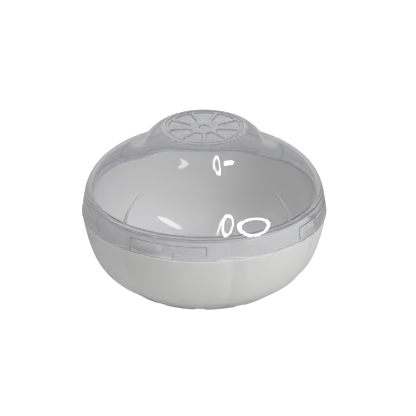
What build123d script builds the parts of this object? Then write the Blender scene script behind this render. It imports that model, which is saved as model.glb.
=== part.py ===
from build123d import *
import os
from math import cos, radians, sin, tan

# A twist-lock keeper: a lobed bowl, a clear domed lid and the soft ring between them.
# Millimetres, +Z up. The origin is the centre of the foot ring, on the surface that it stands on.
# The front is -Y. An azimuth is counted from the front, positive towards +X.

# ---- driving dimensions: bowl ------------------------------------------------------------------
SHOULDER_Z = 33.0        # where the bowl ends outside and the lid's skirt begins
SHOULDER_R = 54.9
WALL_CURVE = ((50.4, 7.4), (44.7, 7.4))         # handles of the wall outside, shoulder to foot
INSIDE_CURVE = ((49.9, 9.2), (43.2, 7.9))       # and inside, neck to floor
INSIDE_START_Z = 31.0    # above this the inside is straight, so that the moulding leaves its tool
FLOOR_R = 34.0
FLOOR_THICKNESS = 2.0

FOOT_R = 34.8            # outer edge of the foot ring
FOOT_HEIGHT = 1.2        # how far the floor stands above the table
FOOT_WIDTH = 3.0
NOTCH_COUNT = 12         # drain notches across the foot ring
NOTCH_AZIMUTH = -3.0
NOTCH_WIDTH = 4.0
NOTCH_HEIGHT = 0.7

CREASE_AZIMUTHS = (-42.0, 13.7, 66.5, 116.8, 167.1, 217.4, 267.7)
CREASE_DEPTH = 0.45
CREASE_SLOPE = 6.5       # degrees between a flank of the crease and the wall

RIM_Z = 40.9             # top of the neck, which stands inside the lid's skirt
NECK_R = 51.7
NECK_WALL = 1.5
RIM_ROUNDING = 0.6

# ---- driving dimensions: lid -------------------------------------------------------------------
TOTAL_HEIGHT = 74.0
LID_WALL = 1.6
SKIRT_R = 55.1           # lower edge of the skirt
SKIRT_TOP_R = 53.95
SKIRT_GAP = 0.15         # the skirt's edge stays this far above the bowl's shoulder
DOME_CURVE = ((51.8, 55.3), (38.75, 58.1))      # handles of the dome outside, skirt to crown
CROWN = (30.35, 61.85)   # the concave line where the dome meets the knob
KNOB_CURVE = ((25.0, 72.6), (20.3, 73.45))      # and of the knob, crown to flat top
KNOB_TOP_R = 19.0
INNER_DOME_R = 52.3      # the same curves on the inside
INNER_DOME_CURVE = ((50.25, 55.45), (34.2, 57.55))
INNER_CROWN = (29.25, 60.75)
INNER_KNOB_CURVE = ((24.2, 70.1), (21.25, 71.45))
INNER_TOP_R = 18.7

PETALS = 9
PETAL_INNER_R = 7.0
PETAL_OUTER_R = 16.0
PETAL_DEPTH = 0.6
PETAL_CORNER = 1.2
SPOKE_WIDTH = 1.7
RING_GROOVE_R = 17.3     # thin groove round the petals
RING_GROOVE_WIDTH = 0.5
HUB_DIMPLE_R = 2.3
GROOVE_DEPTH = 0.4

RIB_AZIMUTH = -43.0      # the guide rib beside each entry, which runs up inside the dome
RIB_THICKNESS = 1.0
RIB_FOOT = (52.9, 41.5)  # the rib's three corners, the first and last inside the dome's wall
RIB_SHOULDER = (51.0, 43.4)
RIB_TOP = (43.9, 54.8)
RIB_BACK = (50.2, 48.7)  # a point of its long edge in the wall, and one of its free edge
RIB_FRONT = (48.9, 47.6)

# ---- driving dimensions: bayonet and seal ------------------------------------------------------
TRACKS = 4
LAND_R = 52.0            # inside of the skirt between the tracks, clear of the neck
TRACK_R = 53.1           # inside of the skirt in a track
TRACK_START = -37.6      # azimuths of one track: the open entry comes first, then the pocket
LEDGE_START = -15.2
TRACK_END = 1.2
LEDGE_TOP_Z = 35.2
TRACK_CEILING_Z = 39.3
LUG_CLEARANCE = 0.3
LUG_WIDTH = 15.6         # degrees
LUG_END_GAP = 0.6        # degrees left between a lug and either end of its track

SEAL_OUTER_R = 51.7
SEAL_INNER_R = 50.4
SEAL_THICKNESS = 1.1
SEAL_ROUNDING = 0.25
SEAL_GAP = 0.1
LIP_WALL = 0.9           # short wall that keeps the seal in the lid
LIP_GAP = 0.3            # the lip stays this far above the rim

OVERLAP = 0.5            # how far a joined shape reaches into what it joins
BEYOND = 5.0             # how far a cutting shape runs past what it cuts

# ---- derived sizes -----------------------------------------------------------------------------
SKIRT_Z = SHOULDER_Z + SKIRT_GAP
INSIDE_R = NECK_R - NECK_WALL
FLOOR_Z = FOOT_HEIGHT + FLOOR_THICKNESS
LUG_START = TRACK_START + LUG_END_GAP
LUG_R = TRACK_R - LUG_CLEARANCE
LUG_BOTTOM_Z = LEDGE_TOP_Z + LUG_CLEARANCE
LUG_TOP_Z = TRACK_CEILING_Z - LUG_CLEARANCE
TWIST = (TRACK_END - LUG_END_GAP) - (LUG_START + LUG_WIDTH)
SEAL_Z = RIM_Z + SEAL_GAP
SEAT_Z = SEAL_Z + SEAL_THICKNESS + SEAL_GAP
LIP_R = SEAL_INNER_R - SEAL_GAP
MID_SKIRT_R = (SKIRT_TOP_R + LAND_R) / 2


def heading(azimuth):
    """Angle from +X of an azimuth that is counted from the front."""
    return azimuth - 90


def meridian(azimuth):
    """Plane through the Z axis: its x runs outwards at the azimuth, its y runs up."""
    angle = radians(heading(azimuth))
    outwards = (cos(angle), sin(angle), 0)
    return Plane(origin=(0, 0, 0), x_dir=outwards, z_dir=(sin(angle), -cos(angle), 0))


def sectors(start, end, inner_r, outer_r):
    """Ring segments between two azimuths, one for each track."""
    reach = outer_r + BEYOND
    side = reach * tan(radians((end - start) / 2))
    with BuildSketch() as segments:
        with PolarLocations(0, TRACKS, start_angle=heading((start + end) / 2)):
            Polygon((0, 0), (reach, -side), (reach, side), align=None)
        Circle(outer_r, mode=Mode.INTERSECT)
        Circle(inner_r, mode=Mode.SUBTRACT)
    return segments.sketch


lug_sketch = sectors(LUG_START, LUG_START + LUG_WIDTH, NECK_R - OVERLAP, LUG_R)
track_sketch = sectors(TRACK_START, TRACK_END, LAND_R - OVERLAP, TRACK_R)
entry_sketch = sectors(TRACK_START, LEDGE_START, LAND_R - OVERLAP, TRACK_R)

# ---- bowl --------------------------------------------------------------------------------------
with BuildPart() as bowl:
    with BuildSketch(Plane.XZ):
        with BuildLine():
            Bezier((SHOULDER_R, SHOULDER_Z), *WALL_CURVE, (FOOT_R, 0))
            Polyline(
                (FOOT_R, 0),
                (FOOT_R - FOOT_WIDTH, 0),
                (FOOT_R - FOOT_WIDTH, FOOT_HEIGHT),
                (0, FOOT_HEIGHT),
                (0, FLOOR_Z),
                (FLOOR_R, FLOOR_Z),
            )
            Bezier((FLOOR_R, FLOOR_Z), *reversed(INSIDE_CURVE), (INSIDE_R, INSIDE_START_Z))
            Polyline(
                (INSIDE_R, INSIDE_START_Z),
                (INSIDE_R, RIM_Z),
                (NECK_R, RIM_Z),
                (NECK_R, SHOULDER_Z),
                (SHOULDER_R, SHOULDER_Z),
            )
        make_face()
    revolve(axis=Axis.Z)
    fillet(bowl.edges().filter_by(GeomType.CIRCLE).group_by(Axis.Z)[-1], RIM_ROUNDING)

    # bayonet lugs on the neck
    with BuildSketch(Plane.XY.offset(LUG_BOTTOM_Z)):
        add(lug_sketch)
    extrude(amount=LUG_TOP_Z - LUG_BOTTOM_Z)

    # shallow creases between the lobes, each a wide vee that follows the wall down
    for azimuth in CREASE_AZIMUTHS:
        cut_plane = meridian(azimuth)
        with BuildLine(cut_plane) as crease_path:
            fall = Bezier((SHOULDER_R, SHOULDER_Z), *WALL_CURVE, (FOOT_R, 0))
            Line(fall @ 1, fall @ 1 + (fall % 1) * BEYOND)
        vee_plane = Plane(origin=fall @ 0, x_dir=cut_plane.z_dir, z_dir=fall % 0)
        half_width = (CREASE_DEPTH + 1) / tan(radians(CREASE_SLOPE))
        out = 1 if vee_plane.y_dir.dot(cut_plane.x_dir) > 0 else -1
        with BuildSketch(vee_plane):
            Polygon((0, -CREASE_DEPTH * out), (half_width, out), (-half_width, out), align=None)
        sweep(path=crease_path.line, mode=Mode.SUBTRACT)

    # drain notches across the foot ring
    with PolarLocations(FOOT_R - FOOT_WIDTH / 2, NOTCH_COUNT, start_angle=heading(NOTCH_AZIMUTH)):
        Box(FOOT_WIDTH + BEYOND, NOTCH_WIDTH, NOTCH_HEIGHT * 2, mode=Mode.SUBTRACT)

bowl.part.label = "bowl"

# ---- lid ---------------------------------------------------------------------------------------
with BuildPart() as lid:
    with BuildSketch(Plane.XZ):
        # wall of even thickness under the dome, the knob and its flat top
        with BuildLine():
            Bezier((SKIRT_TOP_R, RIM_Z), *DOME_CURVE, CROWN)
            Bezier(CROWN, *KNOB_CURVE, (KNOB_TOP_R, TOTAL_HEIGHT))
            Polyline(
                (KNOB_TOP_R, TOTAL_HEIGHT),
                (0, TOTAL_HEIGHT),
                (0, TOTAL_HEIGHT - LID_WALL),
                (INNER_TOP_R, TOTAL_HEIGHT - LID_WALL),
            )
            Bezier((INNER_TOP_R, TOTAL_HEIGHT - LID_WALL), *reversed(INNER_KNOB_CURVE), INNER_CROWN)
            Bezier(INNER_CROWN, *reversed(INNER_DOME_CURVE), (INNER_DOME_R, RIM_Z))
            Line((INNER_DOME_R, RIM_Z), (SKIRT_TOP_R, RIM_Z))
        make_face()
        # skirt, thick enough for the tracks, with the seat of the seal and the lip that keeps it
        Polygon(
            (LAND_R, SKIRT_Z),
            (SKIRT_R, SKIRT_Z),
            (SKIRT_TOP_R, RIM_Z),
            (MID_SKIRT_R, SEAT_Z + LIP_WALL),
            (LIP_R - LIP_WALL, SEAT_Z + LIP_WALL),
            (LIP_R - LIP_WALL, RIM_Z + LIP_GAP),
            (LIP_R, RIM_Z + LIP_GAP),
            (LIP_R, SEAT_Z),
            (LAND_R, SEAT_Z),
            align=None,
        )
    revolve(axis=Axis.Z)

    # four L-shaped tracks: an entry that is open below, then a pocket behind a ledge
    with BuildSketch(Plane.XY.offset(LEDGE_TOP_Z)):
        add(track_sketch)
    extrude(amount=TRACK_CEILING_Z - LEDGE_TOP_Z, mode=Mode.SUBTRACT)
    with BuildSketch(Plane.XY.offset(SKIRT_Z - OVERLAP)):
        add(entry_sketch)
    extrude(amount=TRACK_CEILING_Z - SKIRT_Z + OVERLAP, mode=Mode.SUBTRACT)

    # guide ribs that die out up inside the dome
    for turn in range(TRACKS):
        with BuildSketch(meridian(RIB_AZIMUTH + turn * 360 / TRACKS)):
            with BuildLine():
                ThreePointArc(RIB_FOOT, RIB_BACK, RIB_TOP)
                ThreePointArc(RIB_TOP, RIB_FRONT, RIB_SHOULDER)
                Line(RIB_SHOULDER, RIB_FOOT)
            make_face()
        extrude(amount=RIB_THICKNESS / 2, both=True)

    # petals, ring groove and hub dimple sunk into the flat top, one petal at the back
    with BuildSketch(Plane.XY.offset(TOTAL_HEIGHT)) as petals:
        Circle(PETAL_OUTER_R)
        Circle(PETAL_INNER_R, mode=Mode.SUBTRACT)
        with PolarLocations(PETAL_OUTER_R / 2, PETALS, start_angle=heading(0)):
            Rectangle(PETAL_OUTER_R, SPOKE_WIDTH, mode=Mode.SUBTRACT)
        fillet(petals.vertices(), PETAL_CORNER)
    extrude(amount=-PETAL_DEPTH, mode=Mode.SUBTRACT)
    with BuildSketch(Plane.XY.offset(TOTAL_HEIGHT)):
        Circle(RING_GROOVE_R + RING_GROOVE_WIDTH / 2)
        Circle(RING_GROOVE_R - RING_GROOVE_WIDTH / 2, mode=Mode.SUBTRACT)
        Circle(HUB_DIMPLE_R)
    extrude(amount=-GROOVE_DEPTH, mode=Mode.SUBTRACT)

lid.part.label = "lid"

# ---- seal --------------------------------------------------------------------------------------
with BuildPart() as rim_seal:
    with BuildSketch(Plane.XZ) as seal_section:
        with Locations(((SEAL_INNER_R + SEAL_OUTER_R) / 2, SEAL_Z + SEAL_THICKNESS / 2)):
            Rectangle(SEAL_OUTER_R - SEAL_INNER_R, SEAL_THICKNESS)
        fillet(seal_section.vertices(), SEAL_ROUNDING)
    revolve(axis=Axis.Z)

rim_seal.part.label = "rim_seal"

# ---- files -------------------------------------------------------------------------------------
os.makedirs("parts", exist_ok=True)
for piece in (bowl, lid, rim_seal):
    export_step(piece.part, f"parts/{piece.part.label}.step")
    print(f"{piece.part.label}: {piece.part.volume / 1000:.2f} cm3")
print(f"the lid locks after {TWIST:.1f} degrees, clockwise seen from above")
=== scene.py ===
"""Looks of a twist-lock keeper: a lobed white bowl, a clear domed lid and the soft ring between them."""

import logging
from dataclasses import dataclass
from enum import IntEnum
from math import cos, pi, radians, sin, tan, tau

import bpy
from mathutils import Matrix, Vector


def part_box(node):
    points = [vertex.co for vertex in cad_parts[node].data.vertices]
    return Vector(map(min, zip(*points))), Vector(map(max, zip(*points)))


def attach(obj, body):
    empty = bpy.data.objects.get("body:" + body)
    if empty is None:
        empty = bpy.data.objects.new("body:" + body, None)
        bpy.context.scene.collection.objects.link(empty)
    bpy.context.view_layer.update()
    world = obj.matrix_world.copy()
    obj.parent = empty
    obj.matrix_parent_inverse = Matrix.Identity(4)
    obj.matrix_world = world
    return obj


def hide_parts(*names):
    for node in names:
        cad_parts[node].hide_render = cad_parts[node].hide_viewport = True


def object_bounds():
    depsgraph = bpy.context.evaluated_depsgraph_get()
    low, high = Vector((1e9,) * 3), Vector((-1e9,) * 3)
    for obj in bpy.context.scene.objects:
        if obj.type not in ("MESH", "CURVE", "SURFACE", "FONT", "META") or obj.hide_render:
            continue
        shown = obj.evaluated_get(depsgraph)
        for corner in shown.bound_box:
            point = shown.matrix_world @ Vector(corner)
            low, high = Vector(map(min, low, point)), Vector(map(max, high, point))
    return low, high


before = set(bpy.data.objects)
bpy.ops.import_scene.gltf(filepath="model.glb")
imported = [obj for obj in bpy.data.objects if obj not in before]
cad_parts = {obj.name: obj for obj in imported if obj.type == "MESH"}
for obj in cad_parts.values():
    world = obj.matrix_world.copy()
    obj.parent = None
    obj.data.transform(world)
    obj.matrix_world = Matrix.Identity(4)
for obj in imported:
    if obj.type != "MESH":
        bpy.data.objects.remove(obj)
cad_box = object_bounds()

log = logging.getLogger("keeper")


class Zone(IntEnum):
    """Surfaces of a turned piece that a moulded pattern is cut into."""

    PLAIN = 0
    WALL = 1
    NECK = 2
    FOOT = 3
    TOP = 4
    DOME_INSIDE = 5
    SKIRT_INSIDE = 6
    INSIDE = 7


Point = tuple[float, float]
Row = tuple[float, float, Zone]                      # radius, height and zone
Colour = tuple[float, float, float]

MICRON = 1e-6
NEAREST_ROWS = 10 * MICRON
NEAREST_COLUMNS = 2e-4                               # radians
ROW_STEP = 0.001
ARC_STEP = 0.0005
ONE_RUN = 1.0                                        # a step so long that nothing comes between the ends
SUPPORT_REACH = 1.8                                  # roundings from a corner to its arc's steadying row
STEP_REACH = 2.4                                     # half widths that even rows keep off a moulded step
STEP_SHARES = (-2.0, -1.0, -0.35, 0.35, 1.0, 2.0)    # half widths at which rows cross such a step


# ---- shared mesh and node helpers --------------------------------------------------------------
class Section:
    """Half section of a turned piece: rows of radius and height, each in a zone."""

    def __init__(self, start: Point, zone: Zone = Zone.PLAIN) -> None:
        """Starts a section at its first row."""
        self.rows: list[tuple[Vector, Zone, float]] = [(Vector(start), zone, 0.0)]

    def _add(self, points: list[Vector], zone: Zone, rounding: float) -> None:
        """Adds points after the last one, leaving out a first point that repeats it.

        Args:
            points: radius and height of each.
            zone: the surface they belong to.
            rounding: how far from the last of them the rounding of its corner begins.
        """
        for point in points:
            if (self.rows[-1][0] - point).length >= MICRON:
                self.rows.append((point, zone, 0.0))
        self.rows[-1] = (*self.rows[-1][:2], rounding)

    def line(self, end: Point, zone: Zone = Zone.PLAIN, step: float = ROW_STEP, rounding: float = 0.0,
             edges: tuple[float, ...] = (), edge: float = 0.0) -> None:
        """Adds a straight run from the last row, with closer rows across each moulded step.

        Args:
            end: radius and height of its end.
            zone: the surface it belongs to.
            step: largest distance between two rows.
            rounding: how far from its end the rounding of the corner begins.
            edges: shares of the run at which a moulded step crosses it.
            edge: half the width of such a step.
        """
        first, last = self.rows[-1][0], Vector(end)
        length = (last - first).length
        count = max(1, round(length / step))
        shares = {i / count for i in range(count + 1)}
        for place in edges:
            shares = {s for s in shares if abs(s - place) * length > STEP_REACH * edge or s in (0.0, 1.0)}
            shares |= {place + k * edge / length for k in STEP_SHARES}
        inside = sorted(s for s in shares if 0.0 <= s <= 1.0)
        self._add([first.lerp(last, s) for s in inside], zone, rounding)

    def curve(self, handles: tuple[Point, Point], end: Point, zone: Zone = Zone.PLAIN,
              count: int = 30, rounding: float = 0.0) -> None:
        """Adds a cubic curve from the last row.

        Args:
            handles: its two handles.
            end: radius and height of its end.
            zone: the surface it belongs to.
            count: how many rows it is made of.
            rounding: how far from its end the rounding of the corner begins.
        """
        a, b, c, d = (Vector(p) for p in (self.rows[-1][0], *handles, end))
        points = []
        for i in range(count + 1):
            t = i / count
            u = 1 - t
            points.append(u**3 * a + 3 * u * u * t * b + 3 * u * t * t * c + t**3 * d)
        self._add(points, zone, rounding)

    def _walked(self, index: int, way: int, reach: float) -> tuple[Vector, int]:
        """Walks along the rows from a corner.

        Args:
            index: the corner's row.
            way: 1 to go on, -1 to go back.
            reach: how far to go, in metres.

        Returns:
            The point reached, and the first row at or past it.
        """
        here, left = self.rows[index][0], reach
        while True:
            index += way
            there = self.rows[index][0]
            length = (there - here).length
            if length >= left:
                return here.lerp(there, left / length), index
            here, left = there, left - length

    def finished(self) -> list[Row]:
        """Rounds the marked corners.

        Returns:
            Radius, height and zone of every row.
        """
        arcs: dict[int, list[Row]] = {}
        dropped: set[int] = set()
        for i, (corner, zone, rounding) in enumerate(self.rows):
            if not rounding:
                continue
            start, before = self._walked(i, -1, rounding)
            end, after = self._walked(i, 1, rounding)
            support, past = self._walked(i, -1, SUPPORT_REACH * rounding)
            arc = [(support.x, support.y, self.rows[i - 1][1])] if past == before else []
            steps = max(4, round(rounding / ARC_STEP))
            for k in range(steps + 1):
                t = k / steps
                p = start * (1 - t) ** 2 + corner * 2 * t * (1 - t) + end * t * t
                arc.append((p.x, p.y, zone))
            support, past = self._walked(i, 1, SUPPORT_REACH * rounding)
            if past == after:
                arc.append((support.x, support.y, self.rows[i + 1][1]))
            dropped |= set(range(before + 1, after))
            arcs[before] = arc
        every: list[Row] = []
        for i, (point, zone, _) in enumerate(self.rows):
            if i not in dropped:
                every.append((point.x, point.y, zone))
            every += arcs.get(i, [])
        made = every[:1]
        for row in every[1:]:
            if (Vector(row[:2]) - Vector(made[-1][:2])).length > NEAREST_ROWS:
                made.append(row)
        return made


def columns(count: int, edges: list[tuple[float, float]]) -> list[float]:
    """Azimuths of a turned piece's columns, closer together across each moulded step.

    Args:
        count: how many even columns there are.
        edges: azimuth and half width of each step, in radians.

    Returns:
        Sorted azimuths from 0 to a full turn.
    """
    even = [tau * i / count for i in range(count)]
    for place, half in edges:
        middle = place % tau
        even = [a for a in even if abs((a - middle + pi) % tau - pi) > STEP_REACH * half]
        even += [(middle + k * half) % tau for k in STEP_SHARES]
    made: list[float] = []
    for azimuth in sorted(even):
        if not made or azimuth - made[-1] > NEAREST_COLUMNS:
            made.append(azimuth)
    return made


def placed(name: str, data: bpy.types.ID) -> bpy.types.Object:
    """Makes an object of a mesh, a lamp or a camera and puts it in the scene.

    Args:
        name: name of the new object.
        data: what it is made of.

    Returns:
        The new object.
    """
    made = bpy.data.objects.new(name, data)
    bpy.context.scene.collection.objects.link(made)
    return made


def applied(piece: bpy.types.Object) -> None:
    """Runs a piece's modifiers and keeps the result as its plain mesh.

    Args:
        piece: the object, which is left without modifiers.
    """
    evaluated = piece.evaluated_get(bpy.context.evaluated_depsgraph_get())
    result = bpy.data.meshes.new_from_object(evaluated)
    piece.modifiers.clear()
    piece.data = result


def turned(name: str, rows: list[Row], azimuths: list[float], closed: bool) -> bpy.types.Object:
    """Turns a half section about the Z axis into a closed skin.

    Args:
        name: name of the new object.
        rows: every row, going round the section with its solid on the left.
        azimuths: where the columns stand, counted from the front towards +X.
        closed: whether the section is a ring that never meets the axis.

    Returns:
        The new object, with the zone of each point in an attribute.
    """
    points: list[tuple[float, float, float]] = []
    zones: list[int] = []
    rings: list[list[int]] = []
    for radius, height, zone in rows:
        start = len(points)
        if radius < MICRON:
            points.append((0.0, 0.0, height))
            zones.append(int(zone))
            rings.append([start] * len(azimuths))
            continue
        points += [(radius * sin(a), -radius * cos(a), height) for a in azimuths]
        zones += [int(zone)] * len(azimuths)
        rings.append(list(range(start, start + len(azimuths))))
    faces: list[tuple[int, ...]] = []
    pairs = list(zip(rings, rings[1:]))
    if closed:
        pairs.append((rings[-1], rings[0]))
    for lower, upper in pairs:
        for i in range(len(azimuths)):
            j = (i + 1) % len(azimuths)
            corners = dict.fromkeys((lower[i], lower[j], upper[j], upper[i]))
            if len(corners) > 2:
                faces.append(tuple(corners))
    mesh = bpy.data.meshes.new(name)
    mesh.from_pydata(points, [], faces)
    mesh.attributes.new("zone", "INT", "POINT").data.foreach_set("value", zones)
    polish = [float(zone == Zone.INSIDE) for zone in zones]
    mesh.attributes.new("polish", "FLOAT", "POINT").data.foreach_set("value", polish)
    mesh.validate()
    return placed(name, mesh)


class Field:
    """A number that each point of a piece has, with the signs of plain arithmetic."""

    def __init__(self, tree: "FieldTree", socket: bpy.types.NodeSocket) -> None:
        """Keeps the socket that the number comes from."""
        self.tree = tree
        self.socket = socket

    def __add__(self, other: "Number") -> "Field":
        """Adds a number."""
        return self.tree.math("ADD", self, other)

    def __sub__(self, other: "Number") -> "Field":
        """Takes a number away."""
        return self.tree.math("SUBTRACT", self, other)

    def __rsub__(self, other: float) -> "Field":
        """Takes this away from a plain number."""
        return self.tree.math("SUBTRACT", other, self)

    def __mul__(self, other: "Number") -> "Field":
        """Multiplies by a number."""
        return self.tree.math("MULTIPLY", self, other)

    def __truediv__(self, other: "Number") -> "Field":
        """Divides by a number."""
        return self.tree.math("DIVIDE", self, other)

    def __neg__(self) -> "Field":
        """Turns the sign round."""
        return self.tree.math("MULTIPLY", self, -1.0)

    def __abs__(self) -> "Field":
        """Leaves out the sign."""
        return self.tree.math("ABSOLUTE", self)


Number = Field | float


@dataclass(frozen=True)
class Spot:
    """Where a point is: its radius, its azimuth from the front in radians and its height."""

    radius: Field
    azimuth: Field
    height: Field


class Wiring:
    """A node tree, with short ways to add nodes and fill their inputs."""

    def __init__(self, tree: bpy.types.NodeTree) -> None:
        """Takes over a tree."""
        self.tree = tree

    def plug(self, socket: bpy.types.NodeSocket, value: object) -> None:
        """Links an input to something, or sets its value.

        Args:
            socket: the input.
            value: a socket, a field, a node whose first output is meant, or a plain value.
        """
        if isinstance(value, Field):
            value = value.socket
        elif isinstance(value, bpy.types.Node):
            value = value.outputs[0]
        if isinstance(value, bpy.types.NodeSocket):
            self.tree.links.new(value, socket)
        else:
            socket.default_value = value

    def node(self, kind: str, inputs: dict[str | int, object] | None = None,
             **options: object) -> bpy.types.Node:
        """Adds a node, sets its options and fills its inputs.

        Args:
            kind: the node's type name.
            inputs: what goes in, by the input's name or number.
            **options: its options by name.

        Returns:
            The new node.
        """
        made = self.tree.nodes.new(kind)
        for key, value in options.items():
            setattr(made, key, value)
        for key, value in (inputs or {}).items():
            self.plug(made.inputs[key], value)
        return made


class FieldTree(Wiring):
    """A Geometry Nodes tree with named sizes, ending in Realize Instances and Set Material."""

    def __init__(self, name: str, material: bpy.types.Material) -> None:
        """Starts a tree.

        Args:
            name: name of the tree.
            material: what the finished piece is dressed in.
        """
        super().__init__(bpy.data.node_groups.new(name, "GeometryNodeTree"))
        for way in ("INPUT", "OUTPUT"):
            self.tree.interface.new_socket("Geometry", in_out=way, socket_type="NodeSocketGeometry")
        self.entry = self.node("NodeGroupInput")
        self.exit = self.node("NodeGroupOutput")
        self.material = material
        self.values: dict[str, float] = {}

    def size(self, name: str, value: float) -> Field:
        """Adds a named size to the tree's inputs.

        Args:
            name: name of the input.
            value: what the modifier will be given.

        Returns:
            The size, inside the tree.
        """
        item = self.tree.interface.new_socket(name, in_out="INPUT", socket_type="NodeSocketFloat")
        self.values[item.identifier] = value
        return Field(self, next(s for s in self.entry.outputs if s.identifier == item.identifier))

    def math(self, operation: str, *values: Number) -> Field:
        """Adds a Math node.

        Args:
            operation: the operation's name.
            *values: the numbers that go in.

        Returns:
            The result.
        """
        made = self.node("ShaderNodeMath", dict(enumerate(values)), operation=operation)
        return Field(self, made.outputs[0])

    def root(self, value: Field) -> Field:
        """The square root of a value."""
        return self.math("SQRT", value)

    def most(self, first: Number, second: Number) -> Field:
        """The larger of two values."""
        return self.math("MAXIMUM", first, second)

    def least(self, *values: Number) -> Number:
        """The smallest of several values.

        Args:
            *values: the values.

        Returns:
            The smallest.
        """
        result = values[0]
        for value in values[1:]:
            result = self.math("MINIMUM", result, value)
        return result

    def share(self, value: Field) -> Field:
        """A value kept between 0 and 1."""
        return self.least(self.most(value, 0.0), 1.0)

    def within(self, angle: Field, pitch: float) -> Field:
        """An angle brought within half a pitch of zero."""
        return self.math("WRAP", angle, pitch / 2, -pitch / 2)

    def smooth(self, value: Field, softness: Field) -> Field:
        """Makes a soft edge where a value passes zero.

        Args:
            value: how far a point is inside an outline.
            softness: half the width of the edge.

        Returns:
            A smooth rise from 0 well outside to 1 well inside.
        """
        reach = {"Value": value, "From Min": -softness, "From Max": softness}
        made = self.node("ShaderNodeMapRange", reach, interpolation_type="SMOOTHSTEP")
        return Field(self, made.outputs[0])

    def spot(self) -> Spot:
        """Adds the nodes that say where a point is.

        Returns:
            The point's place.
        """
        split = self.node("ShaderNodeSeparateXYZ", {0: self.node("GeometryNodeInputPosition")})
        x, y, z = (Field(self, socket) for socket in split.outputs)
        return Spot(self.root(x * x + y * y), self.math("ARCTAN2", x, -y), z)

    def in_zone(self, zone: Zone) -> Field:
        """Adds a test for the zone of a point.

        Args:
            zone: the zone that is meant.

        Returns:
            1 in that zone and 0 elsewhere.
        """
        found = self.node("GeometryNodeInputNamedAttribute", {"Name": "zone"}, data_type="INT")
        value = next(s for s in found.outputs if s.name == "Attribute" and s.enabled)
        return self.math("COMPARE", value, float(zone), 0.5)

    def moved(self, outwards: Number, upwards: Number) -> bpy.types.NodeSocket:
        """Moves the piece's points away from the axis and up.

        Args:
            outwards: how far away from the axis, in metres.
            upwards: how far up, in metres.

        Returns:
            The moved geometry.
        """
        kind = "ShaderNodeVectorMath"
        position = self.node("GeometryNodeInputPosition")
        flat = self.node(kind, {0: position, 1: (1.0, 1.0, 0.0)}, operation="MULTIPLY")
        away = self.node(kind, {0: flat}, operation="NORMALIZE")
        sideways = self.node(kind, {0: away, "Scale": outwards}, operation="SCALE")
        lift = self.node("ShaderNodeCombineXYZ", {2: upwards})
        total = self.node(kind, {0: sideways, 1: lift}, operation="ADD")
        mover = self.node("GeometryNodeSetPosition", {"Geometry": self.entry, "Offset": total})
        return mover.outputs[0]

    def bake(self, piece: bpy.types.Object, geometry: bpy.types.NodeSocket) -> bpy.types.Object:
        """Ends the tree, runs it on a piece and keeps the result as a plain mesh.

        Args:
            piece: the object that the tree works on.
            geometry: the tree's last geometry.

        Returns:
            The same object with its new mesh and no modifier.
        """
        realize = self.node("GeometryNodeRealizeInstances", {0: geometry})
        soft = self.node("GeometryNodeSetShadeSmooth", {"Geometry": realize})
        dress = self.node("GeometryNodeSetMaterial", {"Geometry": soft, "Material": self.material})
        self.plug(self.exit.inputs[0], dress)
        modifier = piece.modifiers.new(self.tree.name, "NODES")
        modifier.node_group = self.tree
        for identifier, value in self.values.items():
            modifier[identifier] = value
        applied(piece)
        piece.data.name = piece.name
        return piece


# ---- finishes ----------------------------------------------------------------------------------
@dataclass(frozen=True)
class Noise:
    """Noise in the object's own space: how fine per metre, its finer layers, and finer along which axis."""

    scale: float
    detail: float
    stretch: tuple[float, float, float] = (1.0, 1.0, 1.0)


class Shader(Wiring):
    """A material's nodes and the few steps that the finishes repeat."""

    def __init__(self, name: str) -> None:
        """Starts a material that has only its output."""
        self.material = bpy.data.materials.new(name)
        self.material.use_nodes = True
        super().__init__(self.material.node_tree)
        self.tree.nodes.clear()
        self.output = self.node("ShaderNodeOutputMaterial")

    def surfaced(self, shader: bpy.types.Node) -> bpy.types.Material:
        """Puts a shader on the output, and gives the finished material."""
        self.plug(self.output.inputs["Surface"], shader)
        return self.material

    def place(self) -> bpy.types.NodeSocket:
        """Where a point is, in the object's own space."""
        return self.node("ShaderNodeTexCoord").outputs["Object"]

    def noise(self, kind: Noise) -> bpy.types.NodeSocket:
        """Adds noise.

        Args:
            kind: what it is like.

        Returns:
            The noise's value.
        """
        mapping = self.node("ShaderNodeMapping", {"Vector": self.place(), "Scale": kind.stretch})
        inputs = {"Vector": mapping, "Scale": kind.scale, "Detail": kind.detail}
        return self.node("ShaderNodeTexNoise", inputs).outputs["Fac"]

    def ranged(self, kind: Noise, low: float = 0.0, high: float = 1.0) -> bpy.types.NodeSocket:
        """Adds noise and stretches its middle range over low to high.

        Args:
            kind: what the noise is like.
            low: what its darker parts become.
            high: what its lighter parts become.

        Returns:
            The stretched value.
        """
        inputs = {"Value": self.noise(kind), "From Min": 0.3, "From Max": 0.7, "To Min": low, "To Max": high}
        return self.node("ShaderNodeMapRange", inputs).outputs[0]

    def tinted(self, kind: Noise, first: Colour, second: Colour) -> bpy.types.NodeSocket:
        """Mixes two colours by noise.

        Args:
            kind: what the noise is like.
            first: colour of its darker parts.
            second: colour of its lighter parts.

        Returns:
            The mixed colour.
        """
        made = self.node("ShaderNodeMix", {"Factor": self.ranged(kind)}, data_type="RGBA")
        for socket, colour in zip((s for s in made.inputs if s.type == "RGBA"), (first, second)):
            socket.default_value = (*colour, 1.0)
        return next(s for s in made.outputs if s.type == "RGBA")

    def bumped(self, *layers: tuple[Noise, float]) -> bpy.types.NodeSocket:
        """Chains bumps.

        Args:
            *layers: noise, and the relief in metres that it stands for.

        Returns:
            The last bump's normal.
        """
        bump = None
        for kind, relief in layers:
            inputs = {"Height": self.noise(kind), "Distance": relief, "Strength": 1.0}
            if bump is not None:
                inputs["Normal"] = bump
            bump = self.node("ShaderNodeBump", inputs)
        return bump.outputs[0]


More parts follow.
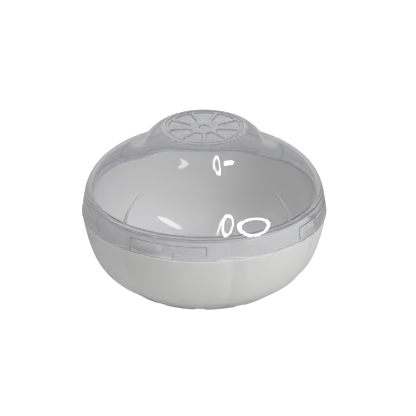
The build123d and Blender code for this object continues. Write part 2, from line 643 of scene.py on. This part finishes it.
@dataclass(frozen=True)
class MilkyPlastic:
    """Satin white polypropylene that light sinks into a little."""

    name: str = "milky_plastic"
    pale: Colour = (0.81, 0.81, 0.80)
    deep: Colour = (0.76, 0.759, 0.745)
    clouds: Noise = Noise(28, 3)
    satin: Noise = Noise(90, 4)
    roughness: tuple[float, float] = (0.33, 0.45)
    polished: float = 0.03
    flow: Noise = Noise(60, 2, (1.0, 1.0, 0.15))
    flow_relief: float = 50e-6
    grain: Noise = Noise(2600, 3)
    grain_relief: float = 1.2e-6
    glow: float = 0.35
    glow_depth: float = 0.0014
    glow_colour: Colour = (1.0, 0.97, 0.9)
    shine: float = 0.28
    bending: float = 1.49

    def make(self) -> bpy.types.Material:
        """Builds the material: slow clouds of colour, fine spark texture and faint flow ripples.

        Returns:
            The material.
        """
        shader = Shader(self.name)
        inside = shader.node("ShaderNodeAttribute", attribute_name="polish")
        satin = shader.ranged(self.satin, *self.roughness)
        rough = {"Factor": inside.outputs["Fac"], "A": satin, "B": self.polished}
        return shader.surfaced(shader.node("ShaderNodeBsdfPrincipled", {
            "Base Color": shader.tinted(self.clouds, self.pale, self.deep),
            "Roughness": shader.node("ShaderNodeMix", rough).outputs["Result"],
            "Normal": shader.bumped((self.flow, self.flow_relief), (self.grain, self.grain_relief)),
            "Subsurface Weight": self.glow,
            "Subsurface Radius": self.glow_colour,
            "Subsurface Scale": self.glow_depth,
            "Specular IOR Level": self.shine,
            "IOR": self.bending,
        }))


@dataclass(frozen=True)
class ClearPlastic:
    """Polished clear plastic with a faint cool tint, slightly wavy from moulding."""

    name: str = "clear_plastic"
    tint: Colour = (0.972, 0.974, 0.985)
    shade: Colour = (0.955, 0.957, 0.972)
    lamp_tint: Colour = (0.93, 0.93, 0.94)
    clouds: Noise = Noise(35, 2)
    smears: Noise = Noise(140, 5)
    roughness: tuple[float, float] = (0.015, 0.05)
    flow: Noise = Noise(45, 2, (1.0, 1.0, 0.3))
    flow_relief: float = 1.5e-6
    scuffs: Noise = Noise(900, 4)
    scuff_relief: float = 0.12e-6
    bending: float = 1.49

    def make(self) -> bpy.types.Material:
        """Builds the material: bending glass to look at, and a clear stand-in for rays from lamps.

        Returns:
            The material.
        """
        shader = Shader(self.name)
        body = shader.node("ShaderNodeBsdfPrincipled", {
            "Base Color": shader.tinted(self.clouds, self.tint, self.shade),
            "Roughness": shader.ranged(self.smears, *self.roughness),
            "Normal": shader.bumped((self.flow, self.flow_relief), (self.scuffs, self.scuff_relief)),
            "Transmission Weight": 1.0,
            "IOR": self.bending,
        })
        through = shader.node("ShaderNodeBsdfTransparent", {"Color": (*self.lamp_tint, 1.0)})
        path = shader.node("ShaderNodeLightPath").outputs
        lit = {0: path["Is Shadow Ray"], 1: path["Is Diffuse Ray"]}
        either = shader.node("ShaderNodeMath", lit, operation="MAXIMUM")
        return shader.surfaced(shader.node("ShaderNodeMixShader", {0: either, 1: body, 2: through}))


@dataclass(frozen=True)
class SoftRing:
    """Translucent silicone with a dusty sheen."""

    name: str = "soft_ring"
    pale: Colour = (0.72, 0.72, 0.73)
    deep: Colour = (0.60, 0.60, 0.62)
    clouds: Noise = Noise(200, 3)
    smears: Noise = Noise(400, 3)
    roughness: tuple[float, float] = (0.35, 0.55)
    grain: Noise = Noise(3000, 3)
    grain_relief: float = 5e-6
    glow: float = 0.4
    glow_depth: float = 0.001
    sheen: float = 0.15

    def make(self) -> bpy.types.Material:
        """Builds the material: cloudy rubber with a fine matt skin.

        Returns:
            The material.
        """
        shader = Shader(self.name)
        return shader.surfaced(shader.node("ShaderNodeBsdfPrincipled", {
            "Base Color": shader.tinted(self.clouds, self.pale, self.deep),
            "Roughness": shader.ranged(self.smears, *self.roughness),
            "Normal": shader.bumped((self.grain, self.grain_relief)),
            "Subsurface Weight": self.glow,
            "Subsurface Scale": self.glow_depth,
            "Sheen Weight": self.sheen,
        }))


# ---- the bowl ----------------------------------------------------------------------------------
@dataclass
class Bowl:
    """The white lobed bowl: wall, foot ring, neck and the four lugs that lock the lid."""

    shoulder: Point = (0.0549, 0.0330)
    wall_handles: tuple[Point, Point] = ((0.0447, 0.0074), (0.0504, 0.0074))
    foot_radius: float = 0.0348
    foot_width: float = 0.0030
    foot_height: float = 0.0012
    floor_radius: float = 0.0340
    floor_height: float = 0.0032
    inside_start: Point = (0.0502, 0.0310)
    inside_handles: tuple[Point, Point] = ((0.0499, 0.0092), (0.0432, 0.0079))
    neck_radius: float = 0.0517
    rim_rounding: float = 0.0006
    edge_rounding: float = 0.0003
    flat_step: float = 0.004
    foot_step: float = 0.0003
    rim_step: float = 0.0008
    neck_step: float = 0.0012
    inside_step: float = 0.002
    wall_rows: int = 60
    inside_rows: int = 40
    even_columns: int = 360
    crease_azimuths: tuple[float, ...] = (-42.0, 13.7, 66.5, 116.8, 167.1, 217.4, 267.7)
    crease_depth: float = 0.0009
    crease_reach: float = 0.0080
    crease_softness: float = 0.0003
    neck_crease_share: float = 0.7
    notch_count: int = 12
    notch_azimuth: float = -3.0
    notch_width: float = 0.0040
    notch_height: float = 0.0014
    notch_softness: float = 0.00025
    notch_flattening: float = 0.96
    lug_count: int = 4
    lug_azimuth: float = -29.2
    lug_angle: float = 15.6
    lug_radius: float = 0.0528
    lug_root: float = 0.0005
    lug_bottom: float = 0.0355
    lug_top: float = 0.0390
    lug_steps: int = 12
    lug_end_share: float = 0.5
    lug_slope: float = 0.25
    lug_bevel: float = 0.0003

    def section(self, top: float) -> Section:
        """Draws the half section, up the outside and down the inside.

        Args:
            top: height of the rim.

        Returns:
            The section.
        """
        foot_inner = self.foot_radius - self.foot_width
        edge, rim = self.edge_rounding, self.rim_rounding
        made = Section((0, self.foot_height))
        made.line((foot_inner, self.foot_height), step=self.flat_step, rounding=edge)
        made.line((foot_inner, 0), Zone.FOOT, self.foot_step, edge)
        made.line((self.foot_radius, 0), Zone.FOOT, rounding=edge)
        made.curve(self.wall_handles, self.shoulder, Zone.WALL, self.wall_rows, edge)
        made.line((self.neck_radius, self.shoulder[1]), Zone.NECK, self.rim_step, edge)
        made.line((self.neck_radius, top), Zone.NECK, self.neck_step, rim)
        made.line((self.inside_start[0], top), step=self.rim_step, rounding=rim)
        made.line(self.inside_start, Zone.INSIDE, self.inside_step)
        floor = (self.floor_radius, self.floor_height)
        made.curve(self.inside_handles, floor, Zone.INSIDE, self.inside_rows)
        made.line((0, self.floor_height), Zone.INSIDE, self.flat_step)
        return made

    def build_wall(self, material: bpy.types.Material) -> bpy.types.Object:
        """Turns the section, presses in the creases between the lobes and cuts the drain notches.

        Args:
            material: the bowl's finish.

        Returns:
            The wall.
        """
        rows = self.section(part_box("bowl")[1].z).finished()
        sharp = self.crease_softness / self.shoulder[0]
        notch = self.notch_width / 2 / self.foot_radius
        soft_notch = self.notch_softness / self.foot_radius
        pitch = tau / self.notch_count
        edges = [(radians(a), sharp) for a in self.crease_azimuths]
        for i in range(self.notch_count):
            middle = radians(self.notch_azimuth) + i * pitch
            edges += [(middle - notch, soft_notch), (middle + notch, soft_notch)]
        piece = turned("bowl_wall", rows, columns(self.even_columns, edges), closed=False)

        tree = FieldTree("lobes_and_notches", material)
        spot = tree.spot()
        creases = self.crease_field(tree, spot)
        return tree.bake(piece, tree.moved(creases, self.notch_field(tree, spot, pitch)))

    def crease_field(self, tree: FieldTree, spot: Spot) -> Field:
        """How far the creases between the lobes are pressed in.

        Args:
            tree: the tree that the nodes go in.
            spot: where a point is.

        Returns:
            The depth in metres, as a negative move outwards.
        """
        depth = tree.size("Crease depth", self.crease_depth)
        reach = tree.size("Crease reach", self.crease_reach)
        softness = tree.size("Crease softness", self.crease_softness)
        neck_share = tree.size("Share of the crease on the neck", self.neck_crease_share)
        nearest: Number = 1.0
        for i, angle in enumerate(self.crease_azimuths):
            place = tree.size(f"Crease {i + 1} azimuth", radians(angle))
            nearest = tree.least(nearest, abs(tree.within(spot.azimuth - place, tau)) * spot.radius)
        away = tree.root(nearest * nearest + softness * softness) - softness
        left = tree.most(1.0 - away / reach, 0.0)
        where = tree.in_zone(Zone.WALL) + tree.in_zone(Zone.NECK) * neck_share
        return -(left * left * depth * where)

    def notch_field(self, tree: FieldTree, spot: Spot, pitch: float) -> Field:
        """How far the drain notches are cut up into the foot ring.

        Args:
            tree: the tree that the nodes go in.
            spot: where a point is.
            pitch: angle from one notch to the next.

        Returns:
            The depth in metres, upwards.
        """
        half = tree.size("Half notch width", self.notch_width / 2)
        ceiling = tree.size("Notch height", self.notch_height)
        soft = tree.size("Notch softness", self.notch_softness)
        turn = spot.azimuth - tree.size("Notch azimuth", radians(self.notch_azimuth))
        cut = tree.smooth(half - abs(tree.within(turn, pitch) * spot.radius), soft)
        rise = tree.most(ceiling - spot.height, 0.0) * self.notch_flattening
        return rise * cut * (tree.in_zone(Zone.WALL) + tree.in_zone(Zone.FOOT))

    def lug(self) -> bpy.types.Object:
        """Shapes one lug at the front: a curved bar with sloping ends and soft edges.

        Returns:
            The lug.
        """
        steps = self.lug_steps
        inner = self.neck_radius - self.lug_root
        points: list[tuple[float, float, float]] = []
        for i in range(steps + 1):
            angle = radians(self.lug_angle) * (i / steps - 0.5)
            risen = min(1.0, self.lug_end_share + self.lug_slope * min(i, steps - i))
            outer = inner + (self.lug_radius - inner) * risen
            for radius, height in ((inner, self.lug_bottom), (outer, self.lug_bottom),
                                   (outer, self.lug_top), (inner, self.lug_top)):
                points.append((radius * sin(angle), -radius * cos(angle), height))
        faces = [(0, 1, 2, 3), tuple(4 * steps + 3 - k for k in range(4))]
        for i in range(steps):
            for k in range(4):
                a, b = 4 * i + k, 4 * i + (k + 1) % 4
                faces.append((a, a + 4, b + 4, b))
        mesh = bpy.data.meshes.new("lug")
        mesh.from_pydata(points, [], faces)
        made = placed("bowl_lugs", mesh)
        bevel = made.modifiers.new("soft edges", "BEVEL")
        bevel.width = self.lug_bevel
        bevel.segments = 3
        bevel.limit_method = "ANGLE"
        applied(made)
        return made

    def build_lugs(self, material: bpy.types.Material) -> bpy.types.Object:
        """Sets a lug round the neck as often as it is needed.

        Args:
            material: the bowl's finish.

        Returns:
            All the lugs.
        """
        lug = self.lug()
        tree = FieldTree("lugs_round_the_neck", material)
        count = tree.size("Lug count", float(self.lug_count))
        first = tree.size("First lug azimuth", radians(self.lug_azimuth))
        line = tree.node("GeometryNodeMeshLine", {"Count": count, "Offset": (0.0, 0.0, 0.0)}, mode="OFFSET")
        index = Field(tree, tree.node("GeometryNodeInputIndex").outputs[0])
        turn = tree.node("ShaderNodeCombineXYZ", {2: index / count * tau + first})
        scatter = {"Points": line, "Instance": tree.entry, "Rotation": turn}
        return tree.bake(lug, tree.node("GeometryNodeInstanceOnPoints", scatter).outputs[0])

    def build(self, finish: MilkyPlastic, body: str) -> list[bpy.types.Object]:
        """Builds the bowl and puts it on its body.

        Args:
            finish: what it is made of.
            body: the body that it rides on.

        Returns:
            The wall and the lugs.
        """
        material = finish.make()
        wall = self.build_wall(material)
        lugs = self.build_lugs(material)
        for piece in (wall, lugs):
            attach(piece, body)
        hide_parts("bowl")
        return [wall, lugs]


# ---- the lid -----------------------------------------------------------------------------------
@dataclass
class Lid:
    """The clear lid: dome, hollow knob with its petalled top, skirt with tracks, ribs and lip."""

    skirt_radius: float = 0.0551
    skirt_top: Point = (0.05395, 0.0409)
    dome_handles: tuple[Point, Point] = ((0.0518, 0.0553), (0.03875, 0.0581))
    crown: Point = (0.03035, 0.06185)
    knob_handles: tuple[Point, Point] = ((0.0250, 0.0726), (0.0203, 0.07345))
    top_radius: float = 0.0190
    wall: float = 0.0016
    land_radius: float = 0.0520
    seat_height: float = 0.0422
    lip_bottom: float = 0.0412
    lip_top: float = 0.0431
    lip_outer: float = 0.0503
    lip_inner: float = 0.0494
    lip_gap: float = 0.0004
    edge_rounding: float = 0.00025
    lip_rounding: float = 0.0004
    lip_top_rounding: float = 0.0009
    crown_rounding: float = 0.0075
    top_rounding: float = 0.0004
    dome_rows: int = 30
    knob_rows: int = 20
    top_step: float = 0.00036
    ceiling_step: float = 0.0012
    skirt_step: float = 0.0011
    even_columns: int = 248
    petals: int = 9
    petal_inner: float = 0.0066
    petal_outer: float = 0.0160
    petal_depth: float = 0.00045
    petal_corner: float = 0.0012
    spoke_width: float = 0.0017
    ring_groove: float = 0.0173
    ring_groove_width: float = 0.0005
    hub_dimple: float = 0.0023
    groove_depth: float = 0.0004
    press_softness: float = 0.0004
    tracks: int = 4
    track_depth: float = 0.0011
    track_start: float = -37.6
    ledge_start: float = -15.2
    track_end: float = 1.2
    ledge_top: float = 0.0352
    track_ceiling: float = 0.0393
    track_softness: float = 0.00018
    mouth_margin: float = 0.0009
    rib_azimuth: float = -43.0
    rib_thickness: float = 0.0008
    rib_heights: tuple[float, float] = (0.0432, 0.0548)
    rib_depth: float = 0.0015
    rib_softness_share: float = 0.8
    rib_taper: float = 0.6

    def outside(self, top: float) -> list[Row]:
        """Rows of the dome, the knob and the flat top, from the skirt's top to the axis.

        Args:
            top: height of the flat top.

        Returns:
            Radius, height and zone of every row.
        """
        made = Section(self.skirt_top)
        made.curve(self.dome_handles, self.crown, Zone.PLAIN, self.dome_rows, self.crown_rounding)
        made.curve(self.knob_handles, (self.top_radius, top), Zone.PLAIN, self.knob_rows, self.top_rounding)
        made.line((0, top), Zone.TOP, self.top_step)
        return made.finished()

    def inside(self, outside: list[Row]) -> list[Point]:
        """Follows the outside at the wall's thickness.

        Args:
            outside: rows from the skirt's top to the axis.

        Returns:
            Points from the axis down to just above the lip.
        """
        points = [Vector(row[:2]) for row in outside]
        ceiling = points[-1].y - self.wall
        made: list[Point] = [(0.0, ceiling)]
        for i in range(len(points) - 2, 0, -1):
            along = (points[i + 1] - points[i - 1]).normalized()
            inner = points[i] + Vector((-along.y, along.x)) * self.wall
            flat = inner.y > ceiling - NEAREST_ROWS
            far = abs(inner.x - made[-1][0]) > self.ceiling_step or not flat
            if inner.y > self.lip_top + self.lip_gap and far:
                made.append(tuple(inner))
        return made

    def section(self, bottom: float, top: float) -> Section:
        """Draws the half section, down the inside and back up the outside of the skirt.

        Args:
            bottom: height of the skirt's edge.
            top: height of the flat top.

        Returns:
            The section without the dome's outside.
        """
        inner = self.inside(self.outside(top))
        shoulder = inner[-1][0]
        edge, lip = self.edge_rounding, self.lip_rounding
        made = Section(inner[0], Zone.DOME_INSIDE)
        for end in inner[1:]:
            made.line(end, Zone.DOME_INSIDE, ONE_RUN)
        made.line((shoulder, self.lip_top), step=ONE_RUN, rounding=edge)
        for end, rounding in (((self.lip_inner, self.lip_top), self.lip_top_rounding),
                              ((self.lip_inner, self.lip_bottom), lip),
                              ((self.lip_outer, self.lip_bottom), lip),
                              ((self.lip_outer, self.seat_height), edge),
                              ((self.land_radius, self.seat_height), edge)):
            made.line(end, rounding=rounding)
        depth = self.seat_height - bottom
        edges = tuple((self.seat_height - z) / depth for z in (self.track_ceiling, self.ledge_top))
        made.line((self.land_radius, bottom), Zone.SKIRT_INSIDE, self.skirt_step, edge,
                  edges, self.track_softness)
        made.line((self.skirt_radius, bottom), Zone.SKIRT_INSIDE, rounding=edge)
        made.line(self.skirt_top, step=self.skirt_step)
        return made

    def build_shell(self, material: bpy.types.Material) -> bpy.types.Object:
        """Turns the section, then cuts the tracks, raises the ribs and sinks the petals.

        Args:
            material: the lid's finish.

        Returns:
            The clear shell, one closed skin.
        """
        low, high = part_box("lid")
        rows = self.section(low.z, high.z).finished() + self.outside(high.z)[1:]
        soft = self.track_softness / self.land_radius
        half_rib = self.rib_thickness / 2 / self.land_radius
        pitch = tau / self.tracks
        edges = []
        for i in range(self.tracks):
            for angle in (self.track_start, self.ledge_start, self.track_end):
                edges.append((radians(angle) + i * pitch, soft))
            for side in (-half_rib, half_rib):
                edges.append((radians(self.rib_azimuth) + i * pitch + side, soft * self.rib_softness_share))
        piece = turned("lid_shell", rows, columns(self.even_columns, edges), closed=False)

        tree = FieldTree("tracks_ribs_and_petals", material)
        spot = tree.spot()
        outwards = self.track_field(tree, spot, pitch) + self.rib_field(tree, spot, pitch)
        return tree.bake(piece, tree.moved(outwards, self.petal_field(tree, spot)))

    def track_field(self, tree: FieldTree, spot: Spot, pitch: float) -> Field:
        """How far each L-shaped track is sunk into the inside of the skirt.

        Args:
            tree: the tree that the nodes go in.
            spot: where a point is.
            pitch: angle from one track to the next.

        Returns:
            The depth in metres, outwards.
        """
        middle = radians(self.track_start + self.track_end) / 2
        soft = tree.size("Track softness", self.track_softness)
        start = tree.size("Track start", radians(self.track_start) - middle)
        ledge = tree.size("Ledge start", radians(self.ledge_start) - middle)
        end = tree.size("Track end", radians(self.track_end) - middle)
        ledge_top = tree.size("Ledge top", self.ledge_top)
        depth = tree.size("Track depth", self.track_depth)
        local = tree.within(spot.azimuth - middle, pitch)
        from_start = (local - start) * spot.radius
        to_ceiling = tree.size("Track ceiling", self.track_ceiling) - spot.height
        entry = tree.least(from_start, (ledge - local) * spot.radius, to_ceiling)
        pocket = tree.least(from_start, (end - local) * spot.radius, to_ceiling, spot.height - ledge_top)
        mask = tree.smooth(tree.most(entry, pocket), soft)
        near = tree.size("Start of the edge", self.land_radius + self.edge_rounding)
        far = tree.size("End of the edge", self.skirt_radius - self.mouth_margin)
        share = tree.share((far - spot.radius) / (far - near))
        return mask * depth * share * tree.in_zone(Zone.SKIRT_INSIDE)

    def rib_field(self, tree: FieldTree, spot: Spot, pitch: float) -> Field:
        """How far each guide rib stands in from the inside of the dome.

        Args:
            tree: the tree that the nodes go in.
            spot: where a point is.
            pitch: angle from one rib to the next.

        Returns:
            The rib's height in metres, as a negative move outwards.
        """
        low, high = self.rib_heights
        foot = tree.size("Rib foot height", low)
        head = tree.size("Rib head height", high)
        depth = tree.size("Rib depth", self.rib_depth)
        half = tree.size("Half rib thickness", self.rib_thickness / 2)
        soft = tree.size("Rib softness", self.track_softness * self.rib_softness_share)
        turn = spot.azimuth - tree.size("Rib azimuth", radians(self.rib_azimuth))
        across = tree.smooth(half - abs(tree.within(turn, pitch) * spot.radius), soft)
        left = 1.0 - tree.share((spot.height - foot) / (head - foot))
        tall = tree.math("POWER", left, self.rib_taper) * depth
        return -(tall * across) * tree.in_zone(Zone.DOME_INSIDE)

    def petal_field(self, tree: FieldTree, spot: Spot) -> Field:
        """How far the petals, the ring groove and the hub dimple are sunk into the flat top.

        Args:
            tree: the tree that the nodes go in.
            spot: where a point is.

        Returns:
            The depth in metres, as a negative move upwards.
        """
        soft = tree.size("Press softness", self.press_softness)
        half_spoke = tree.size("Half spoke width", self.spoke_width / 2)
        corner = tree.size("Petal corner", self.petal_corner)
        sideways = tree.math("SINE", abs(tree.within(spot.azimuth, tau / self.petals))) * spot.radius
        ends = tree.least(tree.size("Petal outer radius", self.petal_outer) - spot.radius,
                          spot.radius - tree.size("Petal inner radius", self.petal_inner))
        short_a = tree.most(corner - (sideways - half_spoke), 0.0)
        short_b = tree.most(corner - ends, 0.0)
        inside = corner - tree.root(short_a * short_a + short_b * short_b)
        petal = tree.smooth(inside, soft) * tree.size("Petal depth", self.petal_depth)
        off_groove = abs(spot.radius - tree.size("Ring groove radius", self.ring_groove))
        half_groove = tree.size("Half ring groove width", self.ring_groove_width / 2)
        in_groove = tree.smooth(half_groove - off_groove, soft)
        in_dimple = tree.smooth(tree.size("Hub dimple radius", self.hub_dimple) - spot.radius, soft)
        thin = tree.most(in_groove, in_dimple) * tree.size("Groove depth", self.groove_depth)
        return -tree.most(petal, thin) * tree.in_zone(Zone.TOP)

    def build(self, finish: ClearPlastic, body: str) -> list[bpy.types.Object]:
        """Builds the lid and puts it on its body.

        Args:
            finish: what it is made of.
            body: the body that it rides on.

        Returns:
            The shell.
        """
        shell = self.build_shell(finish.make())
        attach(shell, body)
        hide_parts("lid")
        return [shell]


# ---- the seal ----------------------------------------------------------------------------------
@dataclass
class RimSeal:
    """The soft ring between the rim and the lid."""

    width: float = 0.0013
    rounding: float = 0.0003
    row_step: float = 0.0004
    even_columns: int = 240
    ripple: float = 0.00002
    ripple_count: float = 24.0

    def build(self, finish: SoftRing, body: str) -> list[bpy.types.Object]:
        """Builds the ring and puts it on its body.

        Args:
            finish: what it is made of.
            body: the body that it rides on.

        Returns:
            The ring.
        """
        low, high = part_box("rim_seal")
        outer = high.x
        inner = outer - self.width
        start = (outer, (low.z + high.z) / 2)
        made = Section(start)
        for corner in ((outer, high.z), (inner, high.z), (inner, low.z), (outer, low.z)):
            made.line(corner, step=self.row_step, rounding=self.rounding)
        made.line(start, step=self.row_step)
        rows = made.finished()[:-1]
        piece = turned("seal_ring", rows, columns(self.even_columns, []), closed=True)
        tree = FieldTree("seal_ring", finish.make())
        ripple = tree.size("Ripple", self.ripple)
        sag = tree.math("SINE", tree.spot().azimuth * self.ripple_count) * ripple - ripple
        tree.bake(piece, tree.moved(sag, 0.0))
        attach(piece, body)
        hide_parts("rim_seal")
        return [piece]


# ---- the studio --------------------------------------------------------------------------------
def direction(azimuth: float, elevation: float) -> Vector:
    """Finds the way out from the object to something round it.

    Args:
        azimuth: where that is, in degrees from the front towards +X.
        elevation: how high, in degrees.

    Returns:
        The way, one long.
    """
    a, e = radians(azimuth), radians(elevation)
    return Vector((sin(a) * cos(e), -cos(a) * cos(e), sin(e)))


def facing(name: str, data: bpy.types.ID, middle: Vector, way: Vector, distance: float) -> bpy.types.Object:
    """Puts a lamp or a camera where it faces the object.

    Args:
        name: name of the new object.
        data: the lamp or the camera.
        middle: what it faces.
        way: where it is from there.
        distance: how far away, in metres.

    Returns:
        The new object.
    """
    made = placed(name, data)
    made.location = middle + way * distance
    made.rotation_mode = "QUATERNION"
    made.rotation_quaternion = way.to_track_quat("Z", "Y")
    return made


@dataclass(frozen=True)
class Lamp:
    """A soft square lamp, in degrees, metres and watts, that shows in no reflection."""

    name: str
    azimuth: float
    elevation: float
    distance: float
    side: float
    power: float
    middle: float = 0.04

    def build(self) -> None:
        """Hangs the lamp."""
        light = bpy.data.lights.new(self.name, "AREA")
        light.size = self.side
        light.energy = self.power
        way = direction(self.azimuth, self.elevation)
        holder = facing(self.name, light, Vector((0, 0, self.middle)), way, self.distance)
        holder.visible_glossy = holder.visible_transmission = False


@dataclass(frozen=True)
class Hoop:
    """A glowing oval hoop that only reflections show: its angles in degrees, and the share that is open."""

    name: str
    azimuth: float
    elevation: float
    half_width: float
    half_height: float
    strength: float
    tilt: float = 0.0
    hollow: float = 0.01
    distance: float = 1.2
    middle: float = 0.045
    steps: int = 48

    def build(self) -> None:
        """Hangs the hoop so that it faces the object."""
        a, lean = radians(self.azimuth), radians(self.tilt)
        way = direction(self.azimuth, self.elevation)
        side = Vector((cos(a), sin(a), 0))
        over = way.cross(side) * -1
        middle = Vector((0, 0, self.middle)) + way * self.distance
        points, faces = [], []
        for i in range(self.steps):
            t = tau * i / self.steps
            for share in (1.0, self.hollow):
                u = self.distance * tan(radians(self.half_width)) * share * cos(t)
                v = self.distance * tan(radians(self.half_height)) * share * sin(t)
                across, along = u * cos(lean) - v * sin(lean), u * sin(lean) + v * cos(lean)
                points.append(tuple(middle + side * across + over * along))
            j = (i + 1) % self.steps
            faces.append((2 * i, 2 * j, 2 * j + 1, 2 * i + 1))
        mesh = bpy.data.meshes.new(self.name)
        mesh.from_pydata(points, [], faces)
        hoop = placed(self.name, mesh)
        shader = Shader(self.name)
        mesh.materials.append(shader.surfaced(shader.node("ShaderNodeEmission", {"Strength": self.strength})))
        hoop.visible_camera = hoop.visible_diffuse = hoop.visible_transmission = False


@dataclass
class Studio:
    """A pale floor whose glow, seen through the lid, is darker near the object as a painted shadow; soft
    lamps and the camera.
    """

    elevation: float = 25.0
    distance: float = 3.0
    frame_width: float = 0.1869
    aim: tuple[float, float, float] = (0.00171, 0.0, 0.0340)
    sensor: float = 36.0
    farthest: float = 50.0
    floor_size: float = 6.0
    floor_gap: float = 0.0002
    # painted shadow: grey glow of the floor seen through the lid and in reflections, darker near the object,
    # lighter far away
    floor_glow_painted_shadow: tuple[float, float] = (0.31, 0.50)
    painted_shadow_reach: tuple[float, float] = (0.05, 0.30)
    floor_bounce: float = 0.73
    floor_white: float = 0.60
    floor_lift: float = 1.0
    sky_colour: Colour = (0.98, 0.985, 1.0)
    sky_seen: float = 1.1
    sky: float = 0.34
    sky_light: float = 0.28
    bounces: int = 40
    lamps: tuple[Lamp | Hoop, ...] = (
        Lamp("key", azimuth=52, elevation=30, distance=1.4, side=0.7, power=11.3),
        Lamp("top", azimuth=-20, elevation=76, distance=1.2, side=0.6, power=4.8),
        Hoop("round_hoop", azimuth=49, elevation=20, half_width=15.5, half_height=22, strength=22.0,
             hollow=0.76),
        Hoop("narrow_hoop", azimuth=25, elevation=36, half_width=5.0, half_height=29, strength=22.0,
             tilt=12, hollow=0.70),
        Hoop("slit_lamp", azimuth=16, elevation=34, half_width=1.0, half_height=22, strength=12.0, tilt=12),
        Hoop("strip_lamp", azimuth=-37, elevation=38, half_width=17, half_height=4.5, strength=8.0, tilt=39),
        Hoop("back_glow", azimuth=180, elevation=25, half_width=16, half_height=11, strength=1.2),
    )

    def build_floor(self) -> None:
        """Lays the floor, which looks white to the camera and gives back soft grey light; to rays through the
        lid and off its surfaces it glows grey, darker near the object as a painted shadow.
        """
        mesh = bpy.data.meshes.new("floor")
        half = self.floor_size / 2
        corners = [(-half, -half, 0), (half, -half, 0), (half, half, 0), (-half, half, 0)]
        mesh.from_pydata(corners, [], [(0, 1, 2, 3)])
        floor = placed("floor", mesh)
        floor.location.z = cad_box[0].z - self.floor_gap
        shader = Shader("pale_floor")
        path = shader.node("ShaderNodeLightPath").outputs
        bounce, bright = (shader.node("ShaderNodeBsdfDiffuse", {"Color": (level, level, level, 1.0)})
                          for level in (self.floor_bounce, self.floor_white))
        # painted shadow: the glow that rays through the lid and off its surfaces see is darker near the
        # object and lighter far away
        away = shader.node("ShaderNodeVectorMath", {0: shader.place()}, operation="LENGTH")
        names = ("From Min", "From Max", "To Min", "To Max")
        painted_shadow_fade = dict(zip(names, (*self.painted_shadow_reach, *self.floor_glow_painted_shadow)), Value=away.outputs["Value"])
        painted_shadow_glow = shader.node("ShaderNodeEmission", {"Strength": shader.node("ShaderNodeMapRange", painted_shadow_fade)})
        lift = shader.node("ShaderNodeEmission", {"Strength": self.floor_lift})
        both = shader.node("ShaderNodeAddShader", {0: bright, 1: lift})
        soft = shader.node("ShaderNodeMixShader", {0: path["Is Diffuse Ray"], 1: painted_shadow_glow, 2: bounce})
        mix = shader.node("ShaderNodeMixShader", {0: path["Is Camera Ray"], 1: soft, 2: both})
        mesh.materials.append(shader.surfaced(mix))

    def build_world(self) -> None:
        """Makes the surroundings: white behind the object, dimmer as a light."""
        world = bpy.data.worlds.new("studio")
        bpy.context.scene.world = world
        world.use_nodes = True
        wiring = Wiring(world.node_tree)
        path = wiring.node("ShaderNodeLightPath").outputs
        light = {"Value": path["Is Diffuse Ray"], "To Min": self.sky, "To Max": self.sky_light}
        dimmed = wiring.node("ShaderNodeMapRange", light)
        level = {"Value": path["Is Camera Ray"], "To Min": dimmed, "To Max": self.sky_seen}
        back = wiring.tree.nodes["Background"]
        wiring.plug(back.inputs["Color"], (*self.sky_colour, 1.0))
        wiring.plug(back.inputs["Strength"], wiring.node("ShaderNodeMapRange", level))

    def build_camera(self) -> None:
        """Sets up the camera."""
        data = bpy.data.cameras.new("camera")
        data.sensor_width = self.sensor
        data.lens = self.sensor * self.distance / self.frame_width
        data.clip_end = self.farthest
        way = direction(0.0, self.elevation)
        bpy.context.scene.camera = facing("camera", data, Vector(self.aim), way, self.distance)

    def build(self) -> None:
        """Builds the whole studio."""
        self.build_floor()
        self.build_world()
        for lamp in self.lamps:
            lamp.build()
        self.build_camera()
        bpy.context.scene.view_settings.view_transform = "Standard"
        paths = bpy.context.scene.cycles
        paths.max_bounces = paths.glossy_bounces = paths.transmission_bounces = self.bounces


def main() -> None:
    """Builds the pieces in order, then the studio."""
    logging.basicConfig(level=logging.INFO, format="%(name)s %(message)s")
    for assembly, finish, body in ((Bowl(), MilkyPlastic(), "bowl_body"),
                                   (RimSeal(), SoftRing(), "seal_body"),
                                   (Lid(), ClearPlastic(), "lid_body")):
        for piece in assembly.build(finish, body):
            log.info("%s: %d faces", piece.name, len(piece.data.polygons))
    Studio().build()


if __name__ == "__main__":
    main()
